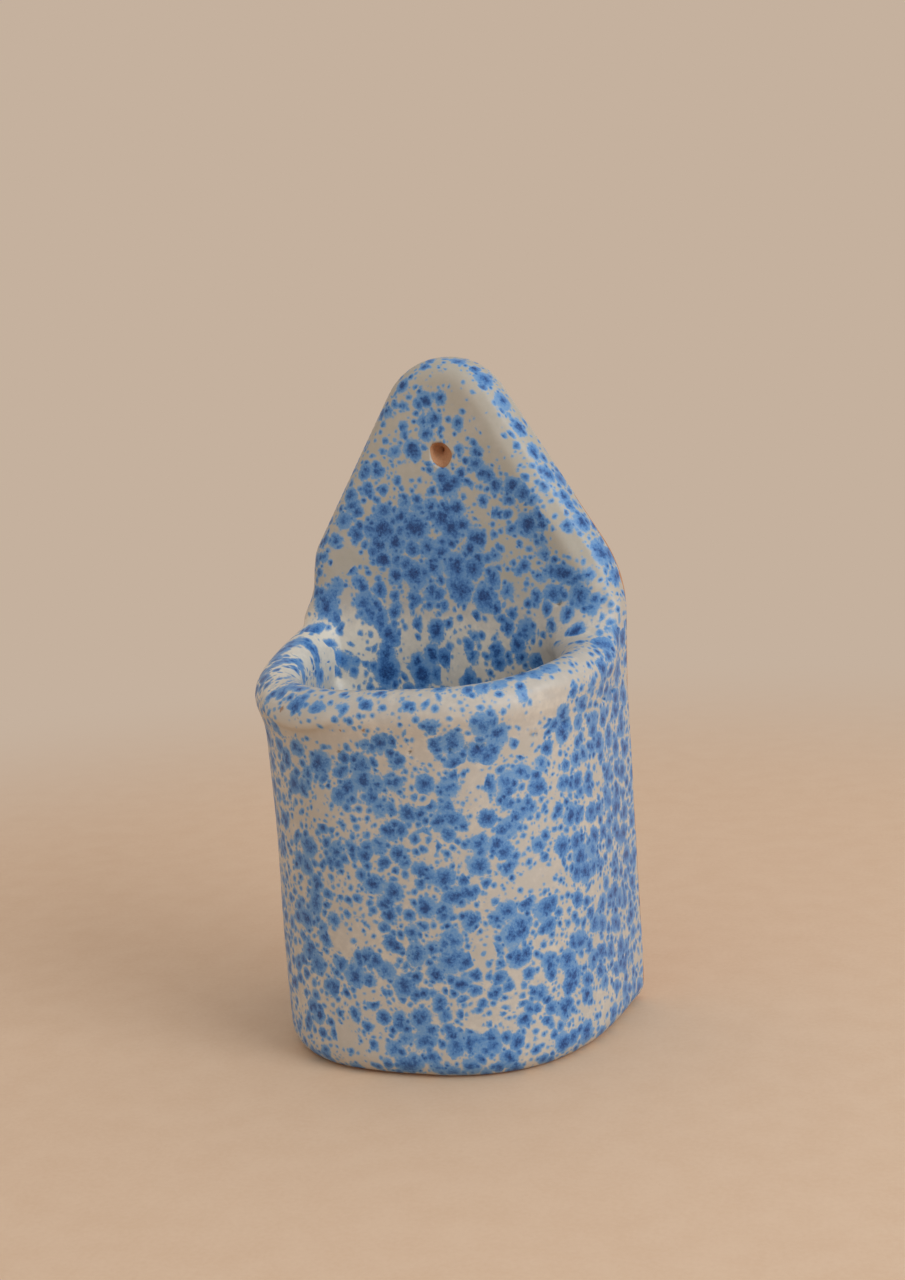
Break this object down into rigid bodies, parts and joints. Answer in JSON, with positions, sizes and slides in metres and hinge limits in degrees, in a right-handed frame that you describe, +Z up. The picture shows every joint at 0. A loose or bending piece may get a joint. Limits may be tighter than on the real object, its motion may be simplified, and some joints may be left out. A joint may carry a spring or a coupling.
{
  "type": "wall pocket",
  "caption": "Slab-built ceramic wall pocket with a speckled glaze: a flat gabled back with a hanging hole, and a half-oval pocket in front that holds flowers.",
  "frame": {"origin": "middle of the overall width and depth, on the plane of the base", "axes": "+Z up, -Y towards the front of the pocket, +Y towards the wall it hangs on"},
  "size_m": [0.0833, 0.0634, 0.159],
  "materials": {
    "speckled_glaze": "satin cream glaze spattered with cobalt blue",
    "bare_clay": "unglazed fired terracotta"
  },
  "bodies": {
    "root": {"back_slab": "speckled_glaze", "pocket_wall": "speckled_glaze", "floor_slab": "bare_clay", "rim_coil": "speckled_glaze", "left_seam_coil": "speckled_glaze", "right_seam_coil": "speckled_glaze", "floor_seam_coil": "speckled_glaze"}
  },
  "joints": []
}
